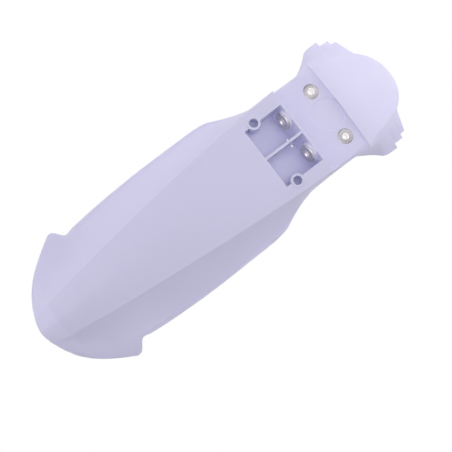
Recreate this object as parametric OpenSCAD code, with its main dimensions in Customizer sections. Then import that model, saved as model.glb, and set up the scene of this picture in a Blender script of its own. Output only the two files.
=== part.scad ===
// Front mudguard of an off-road motorcycle, bolted under the lower fork clamp.
// X points to the rider's right, Y forwards to the tip and Z up from the clamp seat.
// The origin lies on the seat, midway between the two rear bolts.

/* [Moulding] */
// Thickness of the moulded wall
wall = 3; // [2.4:0.1:3.4]
// Depth of the lip that is turned down along the edge
lip_h = 7; // [5:0.5:9]

/* [Clamp seat] */
// Width of the seat between its side walls
seat_w = 143; // [132:1:154]
// From the rear bolts forward to the seat's front wall
seat_front = 58; // [50:0.5:66]
// From the rear bolts back to the step of the tongue
seat_back = 20; // [17:0.5:24]
// Depth of the side walls at the front of the seat
side_wall_h = 17; // [15:0.5:22]
// Radius of the round relief between the rear bolts
relief_r = 25.5; // [18:0.5:27]
// Depth of the round relief
relief_depth = 0.8; // [0.4:0.1:1.2]
// How far the relief cuts back into the step
relief_jog = 1.4; // [0.6:0.1:1.6]

/* [Rear bolts] */
// Spacing of the two rear bolts
bolt_span = 82; // [76:0.5:92]
// Bore of a rear collar
collar_bore = 9.2; // [8.4:0.1:10.4]
// Diameter of a rear collar's flange
collar_flange_d = 23; // [20:0.5:26]
// Thickness of a rear collar's flange
collar_flange_t = 2; // [1.4:0.1:2.4]
// Diameter of a rear collar's tube
collar_tube_d = 15; // [13:0.5:17]
// Length of a rear collar
collar_len = 11; // [9:0.5:14]
// Wall of the plastic boss around a rear collar
collar_boss_wall = 7; // [6:0.5:8]

/* [Front box] */
// Height of the box over the seat at its rear wall
box_h = 28; // [26.5:0.5:31]
// Inside width of the pocket
pocket_w = 97; // [90:1:102]
// Inside length of the pocket at its mouth
pocket_len = 62.5; // [58:0.5:66]
// Depth of the pocket's floor below the seat, at its rear wall
floor_low = 15; // [12:0.5:18]
// Rise of the pocket's floor towards the front
floor_rise = 7; // [3:0.5:10]
// Thickness of the pocket's rear wall
rear_wall_t = 3.5; // [3.2:0.1:4.2]
// Lean of the pocket's rear wall and of the front bolts
wall_lean = 5; // [3:0.5:7]
// Thickness of the rib along the middle of the pocket
rib_t = 4; // [3:0.1:5]
// Diameter of a drain hole in the pocket's floor
drain_d = 3.4; // [2.4:0.2:4.4]

/* [Front bolts] */
// Spacing of the two front bolts
sleeve_span = 57.4; // [50:0.2:60]
// Height of the front bolts over the seat
sleeve_z = 12.6; // [11.6:0.2:13]
// Bore of a front sleeve
sleeve_bore = 8.4; // [7.4:0.1:9.4]
// Diameter of a front sleeve's flange
sleeve_flange_d = 27; // [24:0.5:28]
// Thickness of a front sleeve's flange
sleeve_flange_t = 2; // [1.5:0.1:3]
// Diameter of a front sleeve's tube
sleeve_tube_d = 13; // [12:0.5:15]
// Diameter of the plastic boss behind a front sleeve
sleeve_boss_d = 31; // [29:0.5:31.5]
// Distance from the seat's front wall to the sleeve boss's face
sleeve_boss_h = 10; // [8:0.5:13]

/* [Mask sockets] */
// Spacing of the two sockets beside the pocket
socket_span = 101; // [98:0.5:104]
// Distance of the sockets ahead of the seat's front wall
socket_dist = 49; // [44:0.5:54]
// Bore of a socket
socket_bore = 12.6; // [10:0.2:14]
// Wall of a socket
socket_wall = 3.6; // [2.6:0.1:4]
// Depth of a socket's blind bore
socket_depth = 20; // [14:0.5:24]

/* [Blade] */
// From the seat's front wall to the tip
blade_len = 448; // [420:1:480]
// Downward pitch of the blade where it leaves the box, in degrees
blade_pitch = 9; // [7:0.5:11]
// Fall of the blade's centre line at the tip, without the beak's lip
blade_fall = 153; // [130:1:170]
// Greatest width of the blade
blade_w = 202.4; // [192:0.2:210]
// Width at the shoulders behind the blade
shoulder_w = 192; // [180:1:196]
// Width at the notches behind the ears
notch_w = 186; // [176:1:190]
// Width across the ears
ear_w = 220; // [210:1:228]
// Distance of the notches ahead of the seat's front wall
notch_dist = 337; // [325:1:345]
// Width across the beak's corners
beak_w = 116; // [106:1:124]
// Drop of the blade's edge below its centre line
edge_drop = 39; // [32:0.5:44]
// Width of the middle panel at the box
crease_back_w = 139; // [134:0.5:139.5]
// Width of the middle panel at the notches
crease_front_w = 80; // [70:1:90]
// Drop of the small step along the crease
crease_step = 2.3; // [1.4:0.1:3]
// Hollow of the side panels
side_hollow = 3; // [0:0.5:5]
// Rise of the ridge along the middle of the beak
beak_ridge = 5; // [2:0.5:7]
// Width of the beak's lip at its middle
beak_lip = 30; // [22:1:34]
// Downward pitch of the beak's lip, in degrees
beak_lip_pitch = 10; // [4:1:18]

/* [Tongue] */
// Height of the step at the front of the tongue
step_h = 6; // [4:0.5:8]
// From the step back to the tongue's end
tongue_len = 158; // [145:1:175]
// Downward pitch of the tongue at the step, in degrees
tongue_pitch = 7; // [4:0.5:10]
// Fall of the tongue at its end
tongue_fall = 106; // [90:1:118]
// Drop of the ridge lines below the tongue's middle
tongue_crown = 5; // [3:0.5:7]
// Width of the tongue at the rear end of its ridge lines
ridge_back_w = 112; // [104:1:120]
// From the step back to the rear end of the ridge lines
ridge_len = 97; // [90:1:104]

/* [Skirts] */
// Width across the front plates of the side skirts
plate_w = 203; // [194:1:212]
// Inward step from one plate to the next
plate_step = 7; // [5:0.5:9]
// Depth of the skirts below the seat at their front
skirt_h = 30; // [27:0.5:34]

/* [Hidden] */

overlap = 1;
metal_fit = 0.15;
edge_round = 2.5;
ridge_bevel = 4.5;
corner_bevel = 8;
ridge_fall = 0.8;
seat_fall = 0.55;
plate_hollow = 1.8;
corner_draft = 1.5;
metal_bevel = 0.4;
tip_y = seat_front + blade_len;
blade_sag = (blade_fall - tan(blade_pitch) * blade_len) / pow(blade_len, 2);
tongue_curl = (tongue_fall - tan(tongue_pitch) * tongue_len) / pow(tongue_len, 2);
shell_colour = [0.83, 0.82, 0.92];
metal_colour = [0.55, 0.52, 0.5];

// Curves

function mix(a, b, t) = a + (b - a) * t;

// Slope of a station list at place i, flat where the list turns back
function gap_slope(list, i) = (list[i + 1][1] - list[i][1]) / (list[i + 1][0] - list[i][0]);
function knot_slope(list, i) =
    i == 0 ? gap_slope(list, 0) :
    i == len(list) - 1 ? gap_slope(list, i - 1) :
    let (a = gap_slope(list, i - 1), b = gap_slope(list, i))
    a * b <= 0 ? 0 : 2 * a * b / (a + b);

// Smooth value at s of a station list of [place, value], without overshoot
function rail(list, s) =
    s <= list[0][0] ? list[0][1] :
    s >= list[len(list) - 1][0] ? list[len(list) - 1][1] :
    let (i = [for (k = [0 : len(list) - 2]) if (list[k][0] <= s && s < list[k + 1][0]) k][0],
         h = list[i + 1][0] - list[i][0],
         t = (s - list[i][0]) / h,
         t2 = t * t,
         t3 = t2 * t)
    list[i][1] * (2 * t3 - 3 * t2 + 1) + knot_slope(list, i) * h * (t3 - 2 * t2 + t)
    + list[i + 1][1] * (3 * t2 - 2 * t3) + knot_slope(list, i + 1) * h * (t3 - t2);

// Height of the top surface along the middle
function centre_z(y) =
    y >= seat_front ? box_h - tan(blade_pitch) * (y - seat_front) - blade_sag * pow(y - seat_front, 2) :
    y > -seat_back ? 0 :
    step_h - tan(tongue_pitch) * (-seat_back - y) - tongue_curl * pow(-seat_back - y, 2);

// Stations along the blade, measured forwards from the seat's front wall

neck = seat_w / 2;
notch_half = notch_w / 2;
ear_half = ear_w / 2;
bend_start = notch_dist + 46;
corner_dist = blade_len - 23;

edge_half = [
    [0, neck + corner_draft], [23, neck + 2], [38, neck + 4.5], [53, neck + 8.5],
    [67, shoulder_w / 2 - 10.8], [82, shoulder_w / 2 - 4.1], [91, shoulder_w / 2],
    [102, blade_w / 2 - 3.2], [112, blade_w / 2 - 1.9], [157, blade_w / 2 - 0.9], [212, blade_w / 2],
    [267, blade_w / 2 - 1.4], [notch_dist - 14, notch_half + 2.6], [notch_dist, notch_half],
    [notch_dist + 4, notch_half + 2], [notch_dist + 8, ear_half - 9.5], [notch_dist + 12, ear_half - 3.9],
    [notch_dist + 16, ear_half - 0.5], [notch_dist + 20, ear_half], [notch_dist + 28, ear_half - 4],
    [notch_dist + 40, ear_half - 11], [notch_dist + 57, ear_half - 22.5],
    [notch_dist + 74, beak_w / 2 + 15.5], [corner_dist, beak_w / 2]];

edge_fall = [
    [0, box_h + side_wall_h], [47, edge_drop - 3], [67, edge_drop - 5], [97, edge_drop - 4],
    [108, edge_drop - 3],
    [180, edge_drop], [240, edge_drop + 1], [292, edge_drop - 2], [notch_dist - 2, edge_drop - 7],
    [notch_dist + 20, edge_drop - 2], [bend_start, edge_drop + 1], [bend_start + 25, edge_drop - 4],
    [corner_dist, edge_drop - 10]];

crease_half = [
    [0, crease_back_w / 2], [28, crease_back_w / 2 - 0.8], [84, crease_back_w / 2 - 4.2],
    [notch_dist, crease_front_w / 2], [bend_start, crease_front_w / 2 - 7]];

// The fold between the side panels and the band that carries the ears
fold_in = [
    [0, 0.6], [60, 2], [100, 4.5], [notch_dist - 20, 4.5], [notch_dist, 5],
    [notch_dist + 20, 28], [notch_dist + 32, 24.5], [bend_start, 23.5]];
fold_rise = [
    [0, 4], [60, 2.5], [100, 1.6], [notch_dist - 20, 1.6], [notch_dist, 2], [notch_dist + 20, 9],
    [bend_start, 9]];

// One half of a cross section, from the middle out to the lip

panel_share = [0, 0.18, 0.36, 0.54, 0.72, 0.88, 1];
side_steps = 5;
band_steps = 2;

function steps(a, b, n, hollow) =
    [for (i = [1 : n]) let (t = i / n) mix(a, b, t) - [0, 0, 4 * hollow * t * (1 - t)]];

function half_section(panel, foot, fold, edge, lip, hollow) =
    concat(panel, [foot], steps(foot, fold, side_steps, hollow), steps(fold, edge, band_steps, 0), [lip]);

// Rows of the tongue, from the end to the step: [ridge y and half width, edge y, half width and z, hollow]

plate_half = plate_w / 2;
ridge_end = -seat_back - ridge_len;
ridge_back = ridge_back_w / 2;
tongue_rows = [
    [ridge_end, ridge_back, ridge_end + 5, plate_half - 2 * plate_step, -skirt_h - 28, 0],
    [ridge_end + 14, ridge_back + 2, ridge_end + 11, plate_half - 2 * plate_step, -skirt_h - 26, 0.6],
    [-90.5, ridge_back + 4, -99.8, plate_half - 2 * plate_step + 0.5, -skirt_h - 25, plate_hollow],
    [-89, ridge_back + 4.3, -98.3, plate_half - plate_step - 0.2, -skirt_h - 21, -0.6],
    [-78, ridge_back + 6.5, -89.2, plate_half - plate_step - 0.3, -skirt_h - 18, 0.6],
    [-66.8, ridge_back + 8.8, -78.2, plate_half - plate_step - 0.5, -skirt_h - 16, plate_hollow],
    [-65.3, ridge_back + 9.1, -76.7, plate_half, -skirt_h - 12, -0.6],
    [-52, ridge_back + 11.8, -58.8, plate_half - 0.9, -skirt_h - 8, 0],
    [-45, ridge_back + 13, -49.4, plate_half - 2.8, -skirt_h - 6, 0.4],
    [-37, ridge_back + 14.3, -40.2, plate_half - 9.5, -skirt_h - 4, 0.4],
    [-29, neck, -31, neck + 14.2, -skirt_h - 2, 0],
    [-seat_back - corner_draft, neck + 1, -seat_back - 1.8, neck + 9.2, -skirt_h, 0]];

// Width of the sloping edge beside the tongue and the seat, widest at the step
tongue_bevels = [
    [ridge_end, ridge_bevel - 1], [-60, ridge_bevel], [-seat_back - corner_draft, ridge_bevel + 1]];
seat_bevels = [
    [-seat_back, corner_bevel], [-12, corner_bevel - 2], [-6, corner_bevel - 3.6], [10, edge_round]];

function tongue_bend(y) = (tongue_len - ridge_len) * pow(max(0, -seat_back - y) / ridge_len, 1.6);
function tongue_z(x, y, half) = centre_z(y) - tongue_crown * pow(x / half, 2);

function tongue_section(r) =
    let (mid_y = r[0] - tongue_bend(r[0]),
         bevel = rail(tongue_bevels, r[0]),
         half = r[1] - min(2, (-seat_back - corner_draft - r[0]) / 12),
         panel = [for (f = panel_share)
                  let (x = f * half, y = mix(mid_y, r[0], pow(f, 2.2)))
                  [x, y, tongue_z(x, y, half)]],
         foot = panel[len(panel) - 1] + [bevel, 0, -ridge_fall * bevel],
         edge = [r[3], r[2], r[4]],
         fold = mix(foot, edge, 0.9))
    half_section(panel, foot, fold, edge, edge + [0.4, 0, -lip_h / 2], r[5]);

// Rows of the seat: [y, edge y, edge half width]

seat_rows = [
    [-seat_back, -seat_back - 0.6, neck + 8.6], [-12, -12.8, neck + 4.2], [-6, -6.5, neck + 2],
    [10, 10, neck + corner_draft], [30, 30, neck + corner_draft],
    [seat_front - corner_draft, seat_front - corner_draft, neck + corner_draft]];

function seat_wall_z(y) = mix(-side_wall_h, -skirt_h, (seat_front - y) / (seat_front + seat_back));

function seat_section(r) =
    let (top = neck - edge_round,
         bevel = rail(seat_bevels, r[0]),
         foot = [top + bevel, r[0], -seat_fall * bevel],
         edge = [r[2], r[1], seat_wall_z(r[0])])
    half_section([for (f = panel_share) [f * top, r[0], 0]], foot, mix(foot, edge, 0.9), edge,
                 edge + [0.4, 0, -lip_h / 2], 0);

// Rows of the box and the blade, at these distances ahead of the seat's front wall

blade_rows = [
    0, 14, 28, 45, 60, 75, 88, 100, 112, 132, 157, 184, 212, 240, 267, 295, 318, notch_dist - 5, notch_dist,
    notch_dist + 4, notch_dist + 8, notch_dist + 12, notch_dist + 16, notch_dist + 20, notch_dist + 28,
    notch_dist + 37];

// The middle panel is gently crowned at the box and turns into a ridge at the beak
function beak_share(s) = min(1, max(0, (s - 150) / (blade_len - 200)));
function panel_z(x, s, half) =
    centre_z(seat_front + s) - mix(1, 2.5, min(1, s / 100)) * pow(x / half, 2)
    - beak_ridge * beak_share(s) * x / half;

function blade_section(s) =
    let (y = seat_front + s,
         half = rail(crease_half, s),
         out = rail(edge_half, s),
         panel = [for (f = panel_share) [f * half, y, panel_z(f * half, s, half)]],
         foot = panel[len(panel) - 1] + [edge_round, 0, -crease_step],
         edge = [out, y, centre_z(y) - rail(edge_fall, s)],
         fold = [out - rail(fold_in, s), y, edge[2] + rail(fold_rise, s)],
         hollow = side_hollow * min(1, max(0, (s - 60) / 60)))
    half_section(panel, foot, fold, edge, edge + [0.6, 0, -mix(3, lip_h, min(1, s / 100))], hollow);

// Rows of the beak, which bend to follow the round front edge: 0 where they start, 1 at the front edge

beak_rows = [0, 0.14, 0.28, 0.41, 0.5, 0.56, 0.62, 0.78, 0.92, 1];
lip_start = 1 - beak_lip / (blade_len - bend_start);
fold_share = [[0, 0.76], [lip_start, 0.65], [1, 0.66]];
crease_share = (crease_front_w / 2 - 7) / rail(edge_half, bend_start);

function beak_xy(f, r) =
    let (out_s = mix(bend_start, corner_dist, r),
         mid_s = mix(bend_start, blade_len, r),
         out = rail(edge_half, out_s))
    [f * out, seat_front + mid_s - (mid_s - out_s) * pow(f, 1.65)];

// Height under share f of the half width, up to the fold
function beak_panel_z(f, r) =
    let (p = beak_xy(f, r), s = p[1] - seat_front, half = crease_share * beak_xy(1, r)[0])
    panel_z(p[0], s, half);

function beak_edge_z(r) =
    let (s = mix(bend_start, corner_dist, r)) centre_z(seat_front + s) - rail(edge_fall, s);

function beak_point(f, r, z) = let (p = beak_xy(f, r)) [p[0], p[1], z];

// Ahead of the fold the lip runs on at its own pitch and its cross section turns into one smooth arch
function beak_z(f, r, z_fold) =
    r <= lip_start ? z_fold :
    let (arch = mix(beak_panel_z(0, lip_start), beak_edge_z(lip_start), pow(f, 1.5)))
    mix(z_fold, arch, (r - lip_start) / (1 - lip_start))
    - tan(beak_lip_pitch) * norm(beak_xy(f, r) - beak_xy(f, lip_start));

function beak_section(r) =
    let (q = min(r, lip_start),
         panel = [for (f = panel_share * crease_share) beak_point(f, r, beak_z(f, r, beak_panel_z(f, q)))],
         step = mix(crease_step, 0.6, q / lip_start),
         foot_share = crease_share + edge_round / beak_xy(1, q)[0],
         foot = beak_point(foot_share, r, beak_z(foot_share, r, beak_panel_z(crease_share, q) - step)),
         edge = beak_point(1, r, beak_edge_z(r)),
         f_fold = rail(fold_share, r),
         fold_z = beak_edge_z(q) + rail(fold_rise, bend_start) + 3 * q,
         fold = beak_point(f_fold, r, beak_z(f_fold, r, fold_z)))
    half_section(panel, foot, fold, edge, edge + [0.5, 0.3, -lip_h], side_hollow * (1 - r));

// The whole surface, row by row from the tongue's end to the beak's turned-down front lip

front_edge = beak_section(1);
lip_foot = len(front_edge) - 1;
front_lip = [for (j = [0 : lip_foot])
    j < lip_foot - 1 ? front_edge[j] + [0, 1.2, -lip_h] : front_edge[lip_foot]];
half_rows = concat(
    [for (r = tongue_rows) tongue_section(r)],
    [for (r = seat_rows) seat_section(r)],
    [for (s = blade_rows) blade_section(s)],
    [for (r = beak_rows) beak_section(r)],
    [front_lip]);

function mirrored(half) =
    concat([for (i = [len(half) - 1 : -1 : 1]) [-half[i][0], half[i][1], half[i][2]]], half);

grid = [for (half = half_rows) mirrored(half)];
row_count = len(grid);
column_count = len(grid[0]);
last_row = row_count - 1;
last_column = column_count - 1;
middle_column = last_column / 2;

function unit(v) = v / max(norm(v), 1e-9);
quad_normals = [for (i = [0 : last_row - 1])
    [for (j = [0 : last_column - 1])
        unit(cross(grid[i + 1][j + 1] - grid[i][j], grid[i + 1][j] - grid[i][j + 1]))]];

function around(i, j) =
    [for (a = [max(i - 1, 0) : min(i, last_row - 1)])
        for (b = [max(j - 1, 0) : min(j, last_column - 1)]) quad_normals[a][b]];

// The side lip and the front lip share the lower end of the beak's corner
function at_corner(i, j) =
    i >= last_row - 1 && (j == 0 || j == last_column)
    || i == last_row && (j == 1 || j == last_column - 1);
function all_around(i, j) =
    at_corner(i, j) ? concat(around(i, j), around(last_row, j == 0 ? 1 : last_column - 1)) : around(i, j);
function total(list, k = 0) = k == len(list) - 1 ? list[k] : list[k] + total(list, k + 1);

// Solves m * x = v for a symmetric matrix given by its rows
function solve(m, v) =
    let (d = m[0] * cross(m[1], m[2]))
    [v * cross(m[1], m[2]), m[0] * cross(v, m[2]), m[0] * cross(m[1], v)] / d;

// A point one wall below every facet that meets at the grid point, so that corners keep a full wall
function inner_point(i, j, stay = 0.05) =
    let (n = all_around(i, j),
         mean = unit(total(n)),
         m = [for (a = [0 : 2]) [for (b = [0 : 2]) total([for (u = n) u[a] * u[b]]) + (a == b ? stay : 0)]],
         v = -wall * total(n) - stay * wall * mean)
    grid[i][j] + solve(m, v);

function outer(i, j) =
    at_corner(i, j) ? (last_row - 1) * column_count + (j <= 1 ? 0 : last_column) : i * column_count + j;
function inner(i, j) = row_count * column_count + outer(i, j);

// Two triangles for a four-sided facet, cut along the diagonal that keeps the halves alike
function facet(a, b, c, d, j) = j < middle_column ? [[a, d, b], [b, d, c]] : [[a, d, c], [a, c, b]];
function flip(t) = [t[0], t[2], t[1]];
function is_whole(t) = t[0] != t[1] && t[1] != t[2] && t[0] != t[2];

module shell() {
    points = concat([for (row = grid) each row],
                    [for (i = [0 : last_row]) for (j = [0 : last_column]) inner_point(i, j)]);
    top = [for (i = [0 : last_row - 1]) for (j = [0 : last_column - 1])
        each facet(outer(i, j), outer(i, j + 1), outer(i + 1, j + 1), outer(i + 1, j), j)];
    under = [for (i = [0 : last_row - 1]) for (j = [0 : last_column - 1])
        for (t = facet(inner(i, j), inner(i, j + 1), inner(i + 1, j + 1), inner(i + 1, j), j)) flip(t)];
    ends = [for (j = [0 : last_column - 1]) each [
        [outer(last_row, j + 1), outer(last_row, j), inner(last_row, j)],
        [outer(last_row, j + 1), inner(last_row, j), inner(last_row, j + 1)],
        [outer(0, j), outer(0, j + 1), inner(0, j + 1)],
        [outer(0, j), inner(0, j + 1), inner(0, j)]]];
    sides = [for (i = [0 : last_row - 1]) each [
        [outer(i + 1, 0), outer(i, 0), inner(i, 0)],
        [outer(i + 1, 0), inner(i, 0), inner(i + 1, 0)],
        [outer(i, last_column), outer(i + 1, last_column), inner(i + 1, last_column)],
        [outer(i, last_column), inner(i + 1, last_column), inner(i, last_column)]]];
    polyhedron(points, [for (t = concat(top, under, ends, sides)) if (is_whole(t)) t]);
}

// The front box: a block under the top surface with a drafted pocket on each side of its rib

pocket_back = seat_front + rear_wall_t;
pocket_front = pocket_back + pocket_len;
floor_front_z = floor_rise - floor_low;

module along_x(width) {
    rotate([90, 0, 90])
        linear_extrude(width, center = true)
            children();
}

module pocket_block() {
    skin = 2.1;
    far = pocket_front + wall;
    along_x(pocket_w + 2 * wall)
        polygon([
            [seat_front + overlap, -floor_low - wall], [far, floor_front_z - wall],
            [far, centre_z(far) - skin], [seat_front + overlap, centre_z(seat_front + overlap) - skin]]);
}

module pocket_space() {
    top = box_h + 2 * wall;
    half_w = (pocket_w - rib_t) / 2;
    foot = pocket_back + (box_h + floor_low) * tan(wall_lean);
    for (side = [-1, 1])
        translate([side * (rib_t + half_w) / 2, 0, 0])
            along_x(half_w)
                polygon([
                    [foot, -floor_low], [pocket_front, floor_front_z], [pocket_front, top],
                    [pocket_back - (top - box_h) * tan(wall_lean), top]]);
}

// Sockets beside the pocket, square to the surface around them

socket_y = seat_front + socket_dist;
socket_tilt = atan(tan(blade_pitch) + 2 * blade_sag * socket_dist);
socket_r = socket_bore / 2 + socket_wall;
socket_sink = 0.4;

module at_sockets() {
    for (side = [-1, 1])
        translate([side * socket_span / 2, socket_y, centre_z(socket_y) - socket_sink])
            rotate([-socket_tilt, 0, 0])
                children();
}

module socket_posts() {
    at_sockets()
        translate([0, 0, -socket_depth - wall])
            cylinder(h = socket_depth + wall, r = socket_r, $fn = 64);
}

// Front bolts through the pocket's rear wall

module at_sleeves(sides = [-1, 1]) {
    for (side = sides)
        translate([side * sleeve_span / 2, seat_front, sleeve_z - sleeve_boss_h * tan(wall_lean)])
            rotate([-90 + wall_lean, 0, 0])
                children();
}

module sleeve_bosses() {
    at_sleeves()
        translate([0, 0, overlap])
            cylinder(h = sleeve_boss_h - overlap, d = sleeve_boss_d, $fn = 72);
}

module sleeve_holes() {
    at_sleeves()
        translate([0, 0, -2 * overlap])
            cylinder(h = sleeve_boss_h + 3 * overlap, r = sleeve_tube_d / 2 + metal_fit, $fn = 48);
}

// Rear bolts through the seat

module at_collars(sides = [-1, 1]) {
    for (side = sides)
        translate([side * bolt_span / 2, 0, 0])
            children();
}

collar_boss_depth = collar_len - 1;

module collar_bosses() {
    at_collars()
        translate([0, 0, -collar_boss_depth])
            cylinder(h = collar_boss_depth - overlap, r = collar_tube_d / 2 + collar_boss_wall, $fn = 72);
}

module collar_holes() {
    at_collars() {
        translate([0, 0, -collar_boss_depth - overlap])
            cylinder(h = collar_boss_depth + 2 * overlap, r = collar_tube_d / 2 + metal_fit, $fn = 48);
        translate([0, 0, -collar_flange_t])
            cylinder(h = collar_flange_t + overlap, r = collar_flange_d / 2 + metal_fit, $fn = 64);
    }
}

// Ribs under the seat, from the pocket's rear wall back past the rear bolts

module seat_ribs() {
    rib = 2.4;
    depth = 8;
    at_collars()
        translate([-rib / 2, -seat_back + 3, -depth])
            cube([rib, seat_front + seat_back - 2, depth - overlap]);
    translate([wall / 2 - neck, -rib / 2, -depth])
        cube([seat_w - wall, rib, depth - wall + overlap]);
}

module round_relief() {
    translate([0, 0, -relief_depth])
        intersection() {
            cylinder(h = step_h + 2 * relief_depth, r = relief_r, $fn = 96);
            translate([-relief_r, -seat_back - corner_draft / 2 - relief_jog, 0])
                cube([2 * relief_r, 3 * relief_r, step_h + 2 * relief_depth]);
        }
}

drain_dist = 7;

module drain_holes() {
    for (side = [-1, 1])
        translate([side * (rib_t + 2 * drain_d) / 2, pocket_back + drain_dist, -floor_low - 2 * wall])
            cylinder(h = 4 * wall, d = drain_d, $fn = 32);
}

module mudguard() {
    color(shell_colour)
        difference() {
            union() {
                shell();
                pocket_block();
                collar_bosses();
                seat_ribs();
                socket_posts();
            }
            difference() {
                pocket_space();
                socket_posts();
                sleeve_bosses();
            }
            at_sockets()
                translate([0, 0, -socket_depth])
                    cylinder(h = socket_depth + 3 * overlap, d = socket_bore, $fn = 48);
            sleeve_holes();
            collar_holes();
            round_relief();
            drain_holes();
        }
}

// Metal collar with a flange on top, a little proud of the seat

module rear_collar(side) {
    tube = collar_tube_d / 2;
    bore = collar_bore / 2;
    flange = collar_flange_d / 2;
    color(metal_colour)
        at_collars([side])
            rotate_extrude($fn = 72)
                polygon([
                    [bore, -collar_len], [tube, -collar_len],
                    [tube, -collar_flange_t], [flange, -collar_flange_t],
                    [flange, 0], [flange - metal_bevel, metal_bevel],
                    [bore + metal_bevel, metal_bevel], [bore, 0]]);
}

// Metal sleeve with its flange on the boss's face and its end flush with the seat's front wall

module front_sleeve(side) {
    tube = sleeve_tube_d / 2;
    bore = sleeve_bore / 2;
    flange = sleeve_flange_d / 2;
    face = sleeve_boss_h;
    top = face + sleeve_flange_t;
    color(metal_colour)
        at_sleeves([side])
            rotate_extrude($fn = 72)
                polygon([
                    [bore, 0], [tube, 0], [tube, face], [flange, face], [flange, top - metal_bevel],
                    [flange - metal_bevel, top], [bore + metal_bevel, top], [bore, top - metal_bevel]]);
}

module rear_left_collar() { rear_collar(-1); }
module rear_right_collar() { rear_collar(1); }
module front_left_sleeve() { front_sleeve(-1); }
module front_right_sleeve() { front_sleeve(1); }

mudguard();
rear_left_collar();
rear_right_collar();
front_left_sleeve();
front_right_sleeve();
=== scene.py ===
"""Studio scene of the front mudguard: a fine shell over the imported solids, its metal, lights and camera."""
import math

import bmesh
import bpy
import numpy as np
from mathutils import Matrix, Quaternion, Vector


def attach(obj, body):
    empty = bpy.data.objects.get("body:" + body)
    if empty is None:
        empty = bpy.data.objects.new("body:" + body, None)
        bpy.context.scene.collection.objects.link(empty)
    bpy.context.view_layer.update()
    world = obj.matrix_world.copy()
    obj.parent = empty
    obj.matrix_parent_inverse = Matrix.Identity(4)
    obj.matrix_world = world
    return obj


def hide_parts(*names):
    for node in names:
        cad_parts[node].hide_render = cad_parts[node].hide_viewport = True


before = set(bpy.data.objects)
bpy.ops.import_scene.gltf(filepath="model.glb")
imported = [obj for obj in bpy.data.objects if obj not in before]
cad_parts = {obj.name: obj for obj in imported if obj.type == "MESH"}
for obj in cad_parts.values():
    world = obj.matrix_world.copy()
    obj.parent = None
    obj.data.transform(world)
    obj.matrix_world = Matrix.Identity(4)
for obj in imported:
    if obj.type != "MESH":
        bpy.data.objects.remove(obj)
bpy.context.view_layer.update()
scene = bpy.context.scene

# Sizes are in millimetres and angles in degrees. Down to the fine forms they are those of the part's source.
# X points to the rider's right, Y forwards to the tip and Z up from the clamp seat.

# Moulding
WALL = 3.0              # thickness of the moulded wall
LIP_H = 7.0             # depth of the lip that is turned down along the edge

# Clamp seat
SEAT_W = 143.0          # width between the side walls
SEAT_FRONT = 58.0       # from the rear bolts forward to the front wall
SEAT_BACK = 20.0        # from the rear bolts back to the tongue's step
SIDE_WALL_H = 17.0      # depth of the side walls at the front
RELIEF_R = 25.5         # radius of the round relief
RELIEF_DEPTH = 0.8      # depth of the round relief
RELIEF_JOG = 1.4        # how far the relief cuts back into the step

# Rear bolts
BOLT_SPAN = 82.0
COLLAR_BORE = 9.2
COLLAR_FLANGE_D = 23.0
COLLAR_FLANGE_T = 2.0
COLLAR_TUBE_D = 15.0
COLLAR_LEN = 11.0
COLLAR_BOSS_WALL = 7.0  # wall of the plastic boss around a collar

# Front box
BOX_H = 28.0            # height over the seat at the rear wall
POCKET_W = 97.0
POCKET_LEN = 62.5
FLOOR_LOW = 15.0        # depth of the pocket's floor below the seat, at the rear wall
FLOOR_RISE = 7.0        # rise of the pocket's floor towards the front
REAR_WALL_T = 3.5
WALL_LEAN = 5.0         # lean of the rear wall and of the front bolts
RIB_T = 4.0             # rib along the middle of the pocket
DRAIN_D = 3.4
DRAIN_DIST = 7.0        # distance of the drain holes ahead of the rear wall

# Front bolts
SLEEVE_SPAN = 57.4
SLEEVE_Z = 12.6
SLEEVE_BORE = 8.4
SLEEVE_FLANGE_D = 27.0
SLEEVE_FLANGE_T = 2.0
SLEEVE_TUBE_D = 13.0
SLEEVE_BOSS_D = 31.0
SLEEVE_BOSS_H = 10.0    # from the seat's front wall to the boss's face

# Mask sockets
SOCKET_SPAN = 101.0
SOCKET_DIST = 49.0      # ahead of the seat's front wall
SOCKET_BORE = 12.6
SOCKET_WALL = 3.6
SOCKET_DEPTH = 20.0
SOCKET_SINK = 0.4       # how far a socket's top lies below the blade's centre line

# Blade
BLADE_LEN = 448.0
BLADE_PITCH = 9.0       # where the blade leaves the box
BLADE_FALL = 153.0      # fall of the centre line at the tip
BLADE_W = 202.4
SHOULDER_W = 192.0
NOTCH_W = 186.0
EAR_W = 220.0
NOTCH_DIST = 337.0      # ahead of the seat's front wall
BEAK_W = 116.0          # across the beak's corners
EDGE_DROP = 39.0        # drop of the edge below the centre line
CREASE_BACK_W = 139.0   # width of the middle panel at the box
CREASE_FRONT_W = 80.0   # width of the middle panel at the notches
CREASE_STEP = 2.3       # drop of the step along the crease
BEAK_RIDGE = 5.0        # rise of the ridge along the beak's middle
BEAK_LIP = 30.0         # width of the beak's lip at its middle

# Tongue and skirts
STEP_H = 6.0            # height of the step at the tongue's front
TONGUE_LEN = 158.0
TONGUE_PITCH = 7.0
TONGUE_FALL = 106.0
TONGUE_CROWN = 5.0      # drop of the ridge lines below the tongue's middle
RIDGE_BACK_W = 112.0    # width at the rear end of the ridge lines
RIDGE_LEN = 97.0        # from the step back to the rear end of the ridge lines
PLATE_W = 203.0         # across the front plates of the skirts
PLATE_STEP = 7.0        # inward step from one plate to the next
SKIRT_H = 30.0          # depth of the skirts at their front

# Edges and fits
EDGE_ROUND = 2.5
RIDGE_BEVEL = 4.5
CORNER_BEVEL = 8.0
RIDGE_FALL = 0.8        # fall of the bevel for each millimetre outwards
SEAT_FALL = 0.55        # the same at the seat
PLATE_HOLLOW = 1.8
CORNER_DRAFT = 1.5
METAL_FIT = 0.15
METAL_BEVEL = 0.4

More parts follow.
